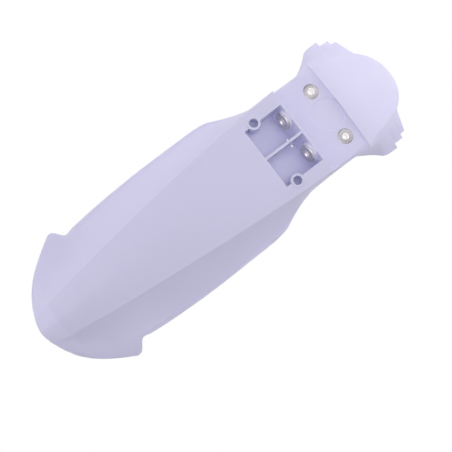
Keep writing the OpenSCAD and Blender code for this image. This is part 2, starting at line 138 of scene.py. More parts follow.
# Fine forms that only the scene has
SLEEVE_MOUTH = 1.2      # chamfer of the sleeve's bore
COLLAR_MOUTH = 0.6      # chamfer of the collar's bore
COLLAR_RIM = 2.2        # width of the sloping rim on the collar's flange
SOCKET_MOUTH = 0.6      # chamfer of the socket's bore
SOCKET_ROUND = 0.5      # radius around the socket's top
RELIEF_SLOPE = 1.5      # width of the round relief's sloping wall
CREASE_RUN = 1.5        # width of the step along each crease
SIDE_HOLLOW = 4.5       # hollow of the blade's sides, 3 in the solid
RIM_SHELF = 4.0         # width of the flat rim along the blade's edge
EAR_FOLD = 6.5          # rise of the ears' outer band
BEAK_DIP = 1.3          # how far the panel dips before the beak's lip
LIP_PITCH = 6.0         # pitch of the beak's lip, flatter than the solid's, which has no dip
LIP_SINK = 1.0          # last dip at the start of the beak's lip
LIP_EASE = 0.15         # share of the lip over which that dip is eased

# Curves of the centre line, from the sizes above
BLADE_SLOPE = math.tan(math.radians(BLADE_PITCH))
BLADE_SAG = (BLADE_FALL - BLADE_SLOPE * BLADE_LEN) / BLADE_LEN ** 2
TONGUE_SLOPE = math.tan(math.radians(TONGUE_PITCH))
TONGUE_CURL = (TONGUE_FALL - TONGUE_SLOPE * TONGUE_LEN) / TONGUE_LEN ** 2


# Curves

def mix(a, b, t):
    return a + (b - a) * t


def rail(knots, s):
    """Smooth value at s of a list of (place, value), without overshoot."""
    x = [k[0] for k in knots]
    y = [k[1] for k in knots]
    if s <= x[0]:
        return y[0]
    if s >= x[-1]:
        return y[-1]
    slope = [(y[i + 1] - y[i]) / (x[i + 1] - x[i]) for i in range(len(x) - 1)]

    def slope_at(i):
        if i == 0:
            return slope[0]
        if i == len(x) - 1:
            return slope[-1]
        a, b = slope[i - 1], slope[i]
        return 0.0 if a * b <= 0 else 2 * a * b / (a + b)

    i = max(k for k in range(len(x) - 1) if x[k] <= s)
    h = x[i + 1] - x[i]
    t = (s - x[i]) / h
    return (y[i] * (2 * t ** 3 - 3 * t ** 2 + 1) + slope_at(i) * h * (t ** 3 - 2 * t ** 2 + t)
            + y[i + 1] * (3 * t ** 2 - 2 * t ** 3) + slope_at(i + 1) * h * (t ** 3 - t ** 2))


def spread(a, b, step):
    """Places from a to b, about a step apart."""
    n = max(1, round(abs(b - a) / step))
    return [mix(a, b, i / n) for i in range(n + 1)]


def soften(x, reach=2.5):
    """A ridge along the middle with a small radius in place of a knife edge."""
    return math.hypot(x, reach) - reach


def centre_z(y):
    """Height of the middle line of the outer surface."""
    if y >= SEAT_FRONT:
        s = y - SEAT_FRONT
        return BOX_H - BLADE_SLOPE * s - BLADE_SAG * s ** 2
    if y > -SEAT_BACK:
        return 0.0
    w = -SEAT_BACK - y
    return STEP_H - TONGUE_SLOPE * w - TONGUE_CURL * w * w


# Sections of the shell

# Half a section has a panel, a foot just below it, a side down to the fold, a band out to the edge, and a lip
# that is turned down
PANEL = 16              # facets of half the middle panel
SIDE = 14               # facets of a side panel
BAND = 4                # facets of the band along the edge
CURVE = 4               # facets of a small radius at a corner
CURVE_REACH = 0.45      # share of the way to the next point that such a radius may take
SHARES = np.linspace(0, 1, PANEL + 1)
SKIRT_FOLD = 0.9        # share of the side at which the skirts and the seat's side walls fold
LIP_LEAN = 0.4          # how far the lip of the skirts leans out

# Radii at the panel's border, the foot, the fold and the edge
TONGUE_RADII = (1.6, 1.8, 1, 0.8)
SEAT_RADII = (1.2, 1.4, 1, 0.8)
BLADE_RADII = (0.5, 1.0, 1.2, 0.6)


def span(a, b, n, hollow=0.0):
    """The n points after a on the way to b, which sags by the hollow."""
    a, b = np.asarray(a, float), np.asarray(b, float)
    shares = [i / n for i in range(1, n + 1)]
    return [mix(a, b, t) - np.array([0, 0, 4 * hollow * t * (1 - t)]) for t in shares]


def half_section(panel, foot, fold, edge, lip, hollow, radii, shelf=0.0):
    """Points of half a section, and the radius of each corner that gets one."""
    side = span(foot, fold, SIDE, hollow)
    brink = mix(fold, edge, 1 - 1 / BAND)
    flat = np.array([edge[0] - RIM_SHELF, edge[1], edge[2]])
    band = span(fold, mix(brink, flat, shelf), BAND - 1) + [edge]
    border = len(panel) - 1
    corners = (border, border + 1, border + 1 + SIDE, border + 1 + SIDE + BAND)
    return list(panel) + [foot] + side + band + [lip], dict(zip(corners, radii))


def corner_curve(before, corner, after, share_before, share_after):
    """Points of a small curve in place of a corner; before and after are the ways to its neighbours."""
    a = corner + before * share_before
    b = corner + after * share_after
    steps = [k / CURVE for k in range(CURVE + 1)]
    return [a * (1 - t) ** 2 + 2 * corner * t * (1 - t) + b * t * t for t in steps]


def rounded(pts, radii):
    """The section with a curve at each marked corner; every section gets the same count of points."""
    out = []
    for i, p in enumerate(pts):
        if i not in radii:
            out.append(p)
            continue
        before, after = pts[i - 1] - p, pts[i + 1] - p
        share_before = min(CURVE_REACH, radii[i] / max(np.linalg.norm(before), 1e-6))
        share_after = min(CURVE_REACH, radii[i] / max(np.linalg.norm(after), 1e-6))
        out += corner_curve(before, p, after, share_before, share_after)
    return out


# Tongue and skirts

NECK = SEAT_W / 2
PLATE = PLATE_W / 2
RIDGE_BACK = RIDGE_BACK_W / 2
RIDGE_END = -SEAT_BACK - RIDGE_LEN
TONGUE_FRONT = -SEAT_BACK - CORNER_DRAFT

# The three plates of a skirt, each as rows of: y and half width of the ridge line, y, half width and z of the
# skirt's edge, and the hollow between the two
PLATES = [
    [(RIDGE_END, RIDGE_BACK, RIDGE_END + 5, PLATE - 2 * PLATE_STEP, -SKIRT_H - 28, 0),
     (RIDGE_END + 14, RIDGE_BACK + 2, RIDGE_END + 11, PLATE - 2 * PLATE_STEP, -SKIRT_H - 26, 0.6),
     (-90.5, RIDGE_BACK + 4, -99.8, PLATE - 2 * PLATE_STEP + 0.5, -SKIRT_H - 25, PLATE_HOLLOW)],
    [(-89, RIDGE_BACK + 4.3, -98.3, PLATE - PLATE_STEP - 0.2, -SKIRT_H - 21, -0.6),
     (-78, RIDGE_BACK + 6.5, -89.2, PLATE - PLATE_STEP - 0.3, -SKIRT_H - 18, 0.6),
     (-66.8, RIDGE_BACK + 8.8, -78.2, PLATE - PLATE_STEP - 0.5, -SKIRT_H - 16, PLATE_HOLLOW)],
    [(-65.3, RIDGE_BACK + 9.1, -76.7, PLATE, -SKIRT_H - 12, -0.6),
     (-52, RIDGE_BACK + 11.8, -58.8, PLATE - 0.9, -SKIRT_H - 8, 0),
     (-45, RIDGE_BACK + 13, -49.4, PLATE - 2.8, -SKIRT_H - 6, 0.4),
     (-37, RIDGE_BACK + 14.3, -40.2, PLATE - 9.5, -SKIRT_H - 4, 0.4),
     (-29, NECK, -31, NECK + 14.2, -SKIRT_H - 2, 0),
     (TONGUE_FRONT, NECK + 1, -SEAT_BACK - 1.8, NECK + 9.2, -SKIRT_H, 0)]]
TONGUE_BEVELS = [(RIDGE_END, RIDGE_BEVEL - 1), (-60, RIDGE_BEVEL), (TONGUE_FRONT, RIDGE_BEVEL + 1)]
TAPER_MOST, TAPER_RUN = 2, 12   # how far the ridge lines draw in behind the step, at one in 12
MIDDLE_BOW = 1.6        # curve of the tongue's middle ahead of its ridge lines
ROW_BOW = 2.2           # curve of a row from the middle to the ridge line


def tongue_section(row):
    ridge_y, half, edge_y, edge_x, edge_z, hollow = row
    w = max(0.0, -SEAT_BACK - ridge_y)
    half -= min(TAPER_MOST, (TONGUE_FRONT - ridge_y) / TAPER_RUN)
    mid_y = ridge_y - (TONGUE_LEN - RIDGE_LEN) * (w / RIDGE_LEN) ** MIDDLE_BOW
    panel = []
    for f in SHARES:
        x, y = f * half, mix(mid_y, ridge_y, f ** ROW_BOW)
        panel.append(np.array([x, y, centre_z(y) - TONGUE_CROWN * (x / half) ** 2]))
    bevel = rail(TONGUE_BEVELS, ridge_y)
    foot = panel[-1] + np.array([bevel, 0, -RIDGE_FALL * bevel])
    edge = np.array([edge_x, edge_y, edge_z])
    lip = edge + np.array([LIP_LEAN, 0, -LIP_H / 2])
    return half_section(panel, foot, mix(foot, edge, SKIRT_FOLD), edge, lip, hollow, TONGUE_RADII)


# Clamp seat

SEAT_BEVELS = [(-SEAT_BACK, CORNER_BEVEL), (-12, CORNER_BEVEL - 2), (-6, CORNER_BEVEL - 3.6),
               (10, EDGE_ROUND)]
SEAT_EDGE_Y = [(-SEAT_BACK, -SEAT_BACK - 0.6), (-12, -12.8), (-6, -6.5), (10, 10), (SEAT_FRONT, SEAT_FRONT)]
SEAT_EDGE_HALF = [(-SEAT_BACK, NECK + 8.6), (-12, NECK + 4.2), (-6, NECK + 2), (10, NECK + CORNER_DRAFT),
                  (SEAT_FRONT, NECK + CORNER_DRAFT)]


def seat_section(y):
    top = NECK - EDGE_ROUND
    bevel = rail(SEAT_BEVELS, y)
    foot = np.array([top + bevel, y, -SEAT_FALL * bevel])
    depth = mix(SIDE_WALL_H, SKIRT_H, (SEAT_FRONT - y) / (SEAT_FRONT + SEAT_BACK))
    edge = np.array([rail(SEAT_EDGE_HALF, y), rail(SEAT_EDGE_Y, y), -depth])
    lip = edge + np.array([LIP_LEAN, 0, -LIP_H / 2])
    panel = [np.array([f * top, y, 0.0]) for f in SHARES]
    return half_section(panel, foot, mix(foot, edge, SKIRT_FOLD), edge, lip, 0, SEAT_RADII)


# Blade

# A place s is the distance ahead of the seat's front wall
SHOULDER, BROAD, NOTCH, EAR, BEAK = SHOULDER_W / 2, BLADE_W / 2, NOTCH_W / 2, EAR_W / 2, BEAK_W / 2
N = NOTCH_DIST
BEND = NOTCH_DIST + 46          # where the rows start to bend round the beak
CORNER = BLADE_LEN - 23         # the beak's corners

# Along the blade: half width and fall of the edge, half width of the panel, how far the fold lies in from the
# edge and above it, and how much of the rim is flat
EDGE_HALF = [
    (0, NECK + CORNER_DRAFT), (23, NECK + 2), (38, NECK + 4.5), (53, NECK + 8.5), (67, SHOULDER - 10.8),
    (82, SHOULDER - 4.1), (91, SHOULDER), (102, BROAD - 3.2), (112, BROAD - 1.9), (157, BROAD - 0.9),
    (212, BROAD), (267, BROAD - 1.4), (N - 14, NOTCH + 2.6), (N, NOTCH), (N + 4, NOTCH + 2),
    (N + 8, EAR - 9.5), (N + 12, EAR - 3.9), (N + 16, EAR - 0.5), (N + 20, EAR), (N + 28, EAR - 4),
    (N + 40, EAR - 11), (N + 57, EAR - 22.5), (N + 74, BEAK + 15.5), (CORNER, BEAK)]
EDGE_FALL = [
    (0, BOX_H + SIDE_WALL_H), (47, EDGE_DROP - 3), (67, EDGE_DROP - 5), (97, EDGE_DROP - 4),
    (108, EDGE_DROP - 3), (180, EDGE_DROP), (240, EDGE_DROP + 1), (292, EDGE_DROP - 2),
    (N - 2, EDGE_DROP - 7), (N + 20, EDGE_DROP - 2), (BEND, EDGE_DROP + 1), (BEND + 25, EDGE_DROP - 4),
    (CORNER, EDGE_DROP - 10)]
CREASE_HALF = [
    (0, CREASE_BACK_W / 2), (28, CREASE_BACK_W / 2 - 0.8), (84, CREASE_BACK_W / 2 - 4.2),
    (N, CREASE_FRONT_W / 2), (BEND, CREASE_FRONT_W / 2 - 7)]
FOLD_IN = [(0, 0.6), (60, 2), (100, 4.5), (N - 20, 4.5), (N, 5), (N + 20, 28), (N + 32, 24.5), (BEND, 23.5)]
FOLD_RISE = [(0, 4), (60, 2.5), (100, 0.7), (N - 20, 0.7), (N, 2), (N + 20, EAR_FOLD), (BEND, EAR_FOLD)]
SHELF_SHARE = [(60, 0), (90, 1), (N - 20, 1), (N - 4, 0)]
HOLLOW_START, HOLLOW_RUN = 60, 60       # where the sides start to be hollow, and over which length
CROWN_BACK, CROWN = 1, 2.5              # drop of the panel's border at the box, and farther on
LIP_H_BACK = 3.0                        # depth of the lip at the box
BOX_RUN = 100                           # length over which the crown and the lip grow
RIDGE_START, RIDGE_RUN = 150, BLADE_LEN - 200   # where the ridge starts, and over which length it rises
BLADE_LIP_LEAN = 0.6


def clamp(t):
    return min(1.0, max(0.0, t))


def panel_z(x, s, half):
    crown = mix(CROWN_BACK, CROWN, min(1, s / BOX_RUN)) * (x / half) ** 2
    ridge = BEAK_RIDGE * clamp((s - RIDGE_START) / RIDGE_RUN) * soften(x) / half
    return centre_z(SEAT_FRONT + s) - crown - ridge


def blade_section(s):
    y = SEAT_FRONT + s
    half, out = rail(CREASE_HALF, s), rail(EDGE_HALF, s)
    panel = [np.array([f * half, y, panel_z(f * half, s, half)]) for f in SHARES]
    foot = panel[-1] + np.array([CREASE_RUN, 0, -CREASE_STEP])
    edge = np.array([out, y, centre_z(y) - rail(EDGE_FALL, s)])
    fold = np.array([out - rail(FOLD_IN, s), y, edge[2] + rail(FOLD_RISE, s)])
    hollow = SIDE_HOLLOW * clamp((s - HOLLOW_START) / HOLLOW_RUN)
    lip = edge + np.array([BLADE_LIP_LEAN, 0, -mix(LIP_H_BACK, LIP_H, min(1, s / BOX_RUN))])
    return half_section(panel, foot, fold, edge, lip, hollow, BLADE_RADII, rail(SHELF_SHARE, s))


# Beak

# A row r runs from 0 at the bend to 1 at the tip, and a place f in it from 0 in the middle to 1 at the edge
LIP_START = 1 - BEAK_LIP / (BLADE_LEN - BEND)
CREASE_SHARE = rail(CREASE_HALF, BEND) / rail(EDGE_HALF, BEND)
FOLD_SHARE = [(0, 0.76), (LIP_START, 0.65), (1, 0.66)]
BEAK_BOW = 1.65         # curve of a row from the middle to the edge
ARCH_BOW = 1.5          # curve of the lip's start in height
DIP_START = 0.5         # where the dip starts, as a share of the way to the lip
CREASE_STEP_END = 0.6   # step of the crease where it meets the beak's lip
BEAK_FOLD_LIFT = 3      # how much farther the fold rises towards the lip
BEAK_LIP_LEAN = (0.5, 0.3)              # in x and y
BEAK_RADII = (0.5, 1.2, 1.2, 1.4)       # as BLADE_RADII
CREASE_SOFT = 3         # radius at the panel's border where it meets the beak's lip


def beak_xy(f, r):
    out_s, mid_s = mix(BEND, CORNER, r), mix(BEND, BLADE_LEN, r)
    return np.array([f * rail(EDGE_HALF, out_s), SEAT_FRONT + mid_s - (mid_s - out_s) * f ** BEAK_BOW])


def beak_panel_z(f, r):
    p = beak_xy(f, r)
    return panel_z(p[0], p[1] - SEAT_FRONT, CREASE_SHARE * beak_xy(1, r)[0])


def beak_edge_z(r):
    s = mix(BEND, CORNER, r)
    return centre_z(SEAT_FRONT + s) - rail(EDGE_FALL, s)


def dip(f, r):
    """How far the surface has dipped before the lip."""
    start = DIP_START * LIP_START
    return BEAK_DIP * (1 - f * f) * max(0.0, min(r, LIP_START) - start) ** 2 / (LIP_START - start) ** 2


def beak_z(f, r, panel_height):
    """Height of the surface, which is panel_height before the lip, apart from the dip."""
    z = panel_height - dip(f, r)
    if r <= LIP_START:
        return z
    t = (r - LIP_START) / (1 - LIP_START)
    arch = mix(beak_panel_z(0, LIP_START), beak_edge_z(LIP_START), f ** ARCH_BOW)
    run = np.linalg.norm(beak_xy(f, r) - beak_xy(f, LIP_START))
    sink = LIP_SINK * (1 - f * f) * (1 - math.exp(-t / LIP_EASE))
    return mix(z, arch, t) - math.tan(math.radians(LIP_PITCH)) * run - sink


def beak_section(r):
    q = min(r, LIP_START)

    def point(f, z):
        x, y = beak_xy(f, r)
        return np.array([x, y, z])

    panel = [point(f, beak_z(f, r, beak_panel_z(f, q))) for f in SHARES * CREASE_SHARE]
    step = mix(CREASE_STEP, CREASE_STEP_END, q / LIP_START)
    foot_f = CREASE_SHARE + CREASE_RUN / beak_xy(1, q)[0]
    foot = point(foot_f, beak_z(foot_f, r, beak_panel_z(CREASE_SHARE, q) - step))
    edge = point(1, beak_edge_z(r))
    fold_f = rail(FOLD_SHARE, r)
    fold_rise = rail(FOLD_RISE, BEND) + BEAK_FOLD_LIFT * q
    fold = point(fold_f, beak_z(fold_f, r, beak_edge_z(q) + fold_rise))
    lip = edge + np.array([*BEAK_LIP_LEAN, -LIP_H])
    radii = (mix(BEAK_RADII[0], CREASE_SOFT, q / LIP_START), *BEAK_RADII[1:])
    return half_section(panel, foot, fold, edge, lip, SIDE_HOLLOW * (1 - r), radii)


# Rows of the surface, from the tongue's end to the beak's turned-down lip

# Distance between rows, on the beak as a share of its length
PLATE_ROWS, SEAT_ROWS = 2.5, 4
BLADE_ROWS = [(0, 60, 4), (60, 130, 3), (130, N - 14, 4), (N - 14, N + 28, 1.5), (N + 28, BEND, 3)]
BEAK_ROWS, BEAK_LIP_ROWS = 0.035, 0.03

# Radii along the plates' ends, the seat's front and back walls and the beak's edge
PLATE_CUT, WALL_CUT, BEAK_CUT = 0.5, 0.8, 1.2
TIP_LEAN = 1.2          # how far the turned-down lip leans out at the tip


def shell_rows():
    """The rows of the surface, and the radius of each row that gets one."""
    rows, cuts = [], {}

    def add(section, cut=0.0):
        if cut:
            cuts[len(rows)] = cut
        rows.append(np.array(rounded(*section)))

    for plate in PLATES:
        places = spread(plate[0][0], plate[-1][0], PLATE_ROWS)
        for k, ridge_y in enumerate(places):
            row = [ridge_y] + [rail([(p[0], p[c]) for p in plate], ridge_y) for c in range(1, len(plate[0]))]
            border = k in (0, len(places) - 1)
            tongue_end = plate is PLATES[0] and k == 0
            add(tongue_section(row), PLATE_CUT if border and not tongue_end else 0)
    places = spread(-SEAT_BACK, SEAT_FRONT - CORNER_DRAFT, SEAT_ROWS)
    for k, y in enumerate(places):
        add(seat_section(y), WALL_CUT if k in (0, len(places) - 1) else 0)
    places = sorted({s for stretch in BLADE_ROWS for s in spread(*stretch)})
    for k, s in enumerate(places[:-1]):
        add(blade_section(s), WALL_CUT if k == 0 else 0)
    for r in spread(0, LIP_START, BEAK_ROWS) + spread(LIP_START, 1, BEAK_LIP_ROWS)[1:]:
        add(beak_section(r))
    cuts[len(rows) - 1] = BEAK_CUT
    front = rows[-1].copy()
    lip_first = len(front) - 2 - CURVE
    front[:lip_first] += np.array([0, TIP_LEAN, -LIP_H])
    front[lip_first:] = front[-1]
    rows.append(front)
    return rows, cuts


def rounded_rows(rows, cuts):
    out = []
    for i, row in enumerate(rows):
        if i not in cuts:
            out.append(row)
            continue
        before, after = rows[i - 1] - row, rows[i + 1] - row
        gap_before = np.maximum(np.linalg.norm(before, axis=1, keepdims=True), 1e-6)
        gap_after = np.maximum(np.linalg.norm(after, axis=1, keepdims=True), 1e-6)
        share_before = np.minimum(CURVE_REACH, cuts[i] / gap_before)
        share_after = np.minimum(CURVE_REACH, cuts[i] / gap_after)
        out += corner_curve(before, row, after, share_before, share_after)
    return out


def whole_row(half_row):
    """The mirrored left half, then the right half."""
    return np.concatenate([half_row[:0:-1] * np.array([-1, 1, 1]), half_row])


def inner_surface(grid, rounds=9):
    """The surface one wall inwards, along normals that are evened out over their neighbours."""
    n = np.cross(np.gradient(grid, axis=1), np.gradient(grid, axis=0))
    n /= np.maximum(np.linalg.norm(n, axis=2, keepdims=True), 1e-9)
    for _ in range(rounds):
        n[1:-1] = (n[1:-1] * 2 + n[:-2] + n[2:]) / 4
        n[:, 1:-1] = (n[:, 1:-1] * 2 + n[:, :-2] + n[:, 2:]) / 4
        n /= np.maximum(np.linalg.norm(n, axis=2, keepdims=True), 1e-9)
    return grid - n * WALL


# Meshes, whose points Blender holds in metres

MM_PER_M = 1000
TURN_FACETS, METAL_FACETS, DRAIN_FACETS = 96, 128, 32
WELD = 1e-6             # metres within which points of the shell are one
TURN_WELD = 1e-7        # the same for turned pieces
SHELL_SMOOTH, METAL_SMOOTH = 25, 40     # angles above which an edge stays sharp


def new_object(name, verts, faces):
    """An object from points in millimetres."""
    mesh = bpy.data.meshes.new(name)
    mesh.from_pydata([tuple(np.asarray(v) / MM_PER_M) for v in verts], [], faces)
    mesh.validate()
    mesh.update()
    obj = bpy.data.objects.new(name, mesh)
    scene.collection.objects.link(obj)
    return obj


def clean(obj, weld=0.0):
    """Turns the faces outwards, after joining points within the weld distance."""
    bm = bmesh.new()
    bm.from_mesh(obj.data)
    if weld:
        bmesh.ops.remove_doubles(bm, verts=bm.verts, dist=weld)
        bmesh.ops.dissolve_degenerate(bm, edges=bm.edges, dist=weld)
    bmesh.ops.recalc_face_normals(bm, faces=bm.faces)
    bm.to_mesh(obj.data)
    bm.free()


def finish_mesh(obj, angle):
    for p in obj.data.polygons:
        p.use_smooth = True
    obj.data.set_sharp_from_angle(angle=math.radians(angle))


def shell_object(outer, inner):
    """A closed shell from the outer and the inner grid of points."""
    rows_n, cols_n = outer.shape[:2]
    off = rows_n * cols_n
    faces = []
    for i in range(rows_n - 1):
        for j in range(cols_n - 1):
            a = i * cols_n + j
            b, c, d = a + 1, a + cols_n + 1, a + cols_n
            faces.append((a, b, c, d))
            faces.append((off + a, off + d, off + c, off + b))
    for j in range(cols_n - 1):
        a = (rows_n - 1) * cols_n + j
        faces.append((a + 1, off + a + 1, off + a, a))
        faces.append((j, off + j, off + j + 1, j + 1))
    for i in range(rows_n - 1):
        a, b = i * cols_n, (i + 1) * cols_n
        faces.append((b, off + b, off + a, a))
        a, b = a + cols_n - 1, b + cols_n - 1
        faces.append((a, off + a, off + b, b))
    obj = new_object("moulding", list(outer.reshape(-1, 3)) + list(inner.reshape(-1, 3)), faces)
    clean(obj, WELD)
    return obj


def stacked(n, levels):
    """Faces of a closed solid whose points are outlines of n points, one for each level."""
    faces = [tuple(range(n - 1, -1, -1)), tuple(range((levels - 1) * n, levels * n))]
    for first in range(0, (levels - 1) * n, n):
        faces += [(first + k, first + (k + 1) % n, first + n + (k + 1) % n, first + n + k) for k in range(n)]
    return faces


def prism(name, outline, x0, x1):
    """A yz outline drawn out along x."""
    pts = [(x0, y, z) for y, z in outline] + [(x1, y, z) for y, z in outline]
    obj = new_object(name, pts, stacked(len(outline), 2))
    clean(obj)
    return obj


def lathe(name, profile, base, tilt=0.0, n=TURN_FACETS):
    """A profile of (radius, height) turned round an axis through base that leans by tilt about x."""
    lean = Matrix.Rotation(math.radians(tilt), 3, "X")
    m = len(profile)
    pts, faces = [], []
    for k in range(n):
        a = 2 * math.pi * k / n
        for r, h in profile:
            v = lean @ Vector((r * math.cos(a), r * math.sin(a), h))
            pts.append((base[0] + v.x, base[1] + v.y, base[2] + v.z))
    for k in range(n):
        here, there = k * m, ((k + 1) % n) * m
        faces += [(here + j, here + (j + 1) % m, there + (j + 1) % m, there + j) for j in range(m)]
    obj = new_object(name, pts, faces)
    clean(obj, TURN_WELD)
    return obj


def rod(name, r, h0, h1, base, tilt=0.0, n=TURN_FACETS):
    return lathe(name, [(0, h0), (r, h0), (r, h1), (0, h1)], base, tilt, n)


def combine(target, tools, operation):
    """Applies a boolean with all tools at once and deletes them."""
    group = bpy.data.collections.new("tools")
    scene.collection.children.link(group)
    for t in tools:
        for c in list(t.users_collection):
            c.objects.unlink(t)
        group.objects.link(t)
    mod = target.modifiers.new("cut", "BOOLEAN")
    mod.operation = operation
    mod.operand_type = "COLLECTION"
    mod.collection = group
    mod.solver = "MANIFOLD"
    dg = bpy.context.evaluated_depsgraph_get()
    mesh = bpy.data.meshes.new_from_object(target.evaluated_get(dg))
    target.modifiers.clear()
    old = target.data
    target.data = mesh
    bpy.data.meshes.remove(old)
    for t in tools:
        bpy.data.objects.remove(t)
    bpy.data.collections.remove(group)


# Places of the box, bosses, bolts and sockets

LEAN = math.tan(math.radians(WALL_LEAN))
POCKET_BACK = SEAT_FRONT + REAR_WALL_T
POCKET_FRONT = POCKET_BACK + POCKET_LEN
FLOOR_FRONT_Z = FLOOR_RISE - FLOOR_LOW
SOCKET_Y = SEAT_FRONT + SOCKET_DIST
SOCKET_TILT = -math.degrees(math.atan(BLADE_SLOPE + 2 * BLADE_SAG * SOCKET_DIST))
SOCKET_R = SOCKET_BORE / 2 + SOCKET_WALL
SOCKET_FOOT = -SOCKET_DEPTH - WALL
SLEEVE_TILT = WALL_LEAN - 90
BOSS_DEPTH = COLLAR_LEN - 1     # depth of a collar's plastic boss
BLOCK_SKIN = 2.1        # how far the solid block of the box stays below the outer surface
SEAT_RIB_DEPTH, SEAT_RIB_HALF = 8, 1.2
PAST = 1                # how far a tool runs past a face
SIDES = (-1, 1)


def socket_base(side):
    return (side * SOCKET_SPAN / 2, SOCKET_Y, centre_z(SOCKET_Y) - SOCKET_SINK)


def sleeve_base(side):
    return (side * SLEEVE_SPAN / 2, SEAT_FRONT, SLEEVE_Z - SLEEVE_BOSS_H * LEAN)


def collar_base(side):
    return (side * BOLT_SPAN / 2, 0.0, 0.0)


def rib(name, y0, y1, top, x0, x1):
    return prism(name, [(y0, -SEAT_RIB_DEPTH), (y1, -SEAT_RIB_DEPTH), (y1, top), (y0, top)], x0, x1)


def add_block_and_bosses(moulding):
    """The block that the pocket is cut from, and the ribs and bosses below the surface."""
    back, far, half = SEAT_FRONT + 1, POCKET_FRONT + WALL, POCKET_W / 2 + WALL
    block = [(back, -FLOOR_LOW - WALL), (far, FLOOR_FRONT_Z - WALL), (far, centre_z(far) - BLOCK_SKIN),
             (back, centre_z(back) - BLOCK_SKIN)]
    added = [prism("block", block, -half, half),
             rib("cross_rib", -SEAT_RIB_HALF, SEAT_RIB_HALF, -2, WALL / 2 - NECK, NECK - WALL / 2)]
    boss_r = COLLAR_TUBE_D / 2 + COLLAR_BOSS_WALL
    r, soft = SOCKET_R, SOCKET_ROUND
    post = [(0, SOCKET_FOOT), (r, SOCKET_FOOT), (r, -soft), (r - 0.3 * soft, -0.4 * soft), (r - soft, 0),
            (0, 0)]
    for side in SIDES:
        x = side * BOLT_SPAN / 2
        added += [rib("long_rib", WALL - SEAT_BACK, back, -1, x - SEAT_RIB_HALF, x + SEAT_RIB_HALF),
                  rod("collar_boss", boss_r, -BOSS_DEPTH, -1, collar_base(side)),
                  lathe("socket_post", post, socket_base(side), SOCKET_TILT)]
    combine(moulding, added, "UNION")


def cut_pocket(moulding):
    """The two halves of the pocket, which leave the rib, the socket posts and the sleeve bosses."""
    top = BOX_H + 2 * WALL
    outline = [(POCKET_BACK + (BOX_H + FLOOR_LOW) * LEAN, -FLOOR_LOW), (POCKET_FRONT, FLOOR_FRONT_Z),
               (POCKET_FRONT, top), (POCKET_BACK - (top - BOX_H) * LEAN, top)]
    for side in SIDES:
        space = prism("space", outline, *sorted((side * RIB_T / 2, side * POCKET_W / 2)))
        kept = [rod("post", SOCKET_R, SOCKET_FOOT, 8 * PAST, socket_base(side), SOCKET_TILT),
                rod("boss", SLEEVE_BOSS_D / 2, PAST, SLEEVE_BOSS_H, sleeve_base(side), SLEEVE_TILT)]
        combine(space, kept, "DIFFERENCE")
        combine(moulding, [space], "DIFFERENCE")


def cut_holes(moulding):
    """The sockets, the seats of the sleeves and collars, and the drain holes."""
    r, mouth = SOCKET_BORE / 2, SOCKET_BORE / 2 + SOCKET_MOUTH
    socket = [(0, -SOCKET_DEPTH), (r, -SOCKET_DEPTH), (r, -SOCKET_MOUTH), (mouth, 0), (mouth, 3 * PAST),
              (0, 3 * PAST)]
    sleeve_r = SLEEVE_TUBE_D / 2 + METAL_FIT
    tube, flange = COLLAR_TUBE_D / 2 + METAL_FIT, COLLAR_FLANGE_D / 2 + METAL_FIT
    collar = [(0, -BOSS_DEPTH - PAST), (tube, -BOSS_DEPTH - PAST), (tube, -COLLAR_FLANGE_T),
              (flange, -COLLAR_FLANGE_T), (flange, 2 * PAST), (0, 2 * PAST)]
    holes = []
    for side in SIDES:
        drain = (side * (RIB_T / 2 + DRAIN_D), POCKET_BACK + DRAIN_DIST, -FLOOR_LOW)
        holes += [lathe("socket_hole", socket, socket_base(side), SOCKET_TILT),
                  rod("sleeve_hole", sleeve_r, -2 * PAST, SLEEVE_BOSS_H + PAST, sleeve_base(side),
                      SLEEVE_TILT),
                  lathe("collar_hole", collar, collar_base(side)),
                  rod("drain", DRAIN_D / 2, -2 * WALL, 2 * WALL, drain, 0, DRAIN_FACETS)]
    combine(moulding, holes, "DIFFERENCE")


def cut_relief(moulding):
    """The round relief with its sloping wall, which is cut short just behind the step."""
    back = -SEAT_BACK - CORNER_DRAFT / 2 - RELIEF_JOG
    ring = []
    for k in range(TURN_FACETS):
        a = -math.pi / 2 + 2 * math.pi * k / TURN_FACETS
        x, y = RELIEF_R * math.cos(a), max(RELIEF_R * math.sin(a), back)
        ring.append((x, y))
    narrow = (RELIEF_R - RELIEF_SLOPE) / RELIEF_R
    pts = [(x * narrow, y * narrow if y > back else y, -RELIEF_DEPTH) for x, y in ring]
    for z in (0.02 * PAST, STEP_H + 2 * PAST):
        pts += [(x, y, z) for x, y in ring]
    disc = new_object("relief", pts, stacked(len(ring), 3))
    clean(disc)
    combine(moulding, [disc], "DIFFERENCE")


# Materials

PLASTIC_TINTS = (0.715, 0.725, 0.90, 1), (0.73, 0.74, 0.915, 1)


def material(name):
    mat = bpy.data.materials.new(name)
    mat.use_nodes = True
    return mat, mat.node_tree.nodes, mat.node_tree.links, mat.node_tree.nodes["Principled BSDF"]


def noise(nodes, links, coords, scale, detail, rough):
    n = nodes.new("ShaderNodeTexNoise")
    n.inputs["Scale"].default_value = scale
    n.inputs["Detail"].default_value = detail
    n.inputs["Roughness"].default_value = rough
    links.new(coords.outputs["Object"], n.inputs["Vector"])
    return n.outputs["Fac"]


def ramp(nodes, links, source, given, wanted):
    """Maps the given range of the source to the wanted one."""
    m = nodes.new("ShaderNodeMapRange")
    m.inputs["From Min"].default_value, m.inputs["From Max"].default_value = given
    m.inputs["To Min"].default_value, m.inputs["To Max"].default_value = wanted
    links.new(source, m.inputs["Value"])
    return m.outputs["Result"]


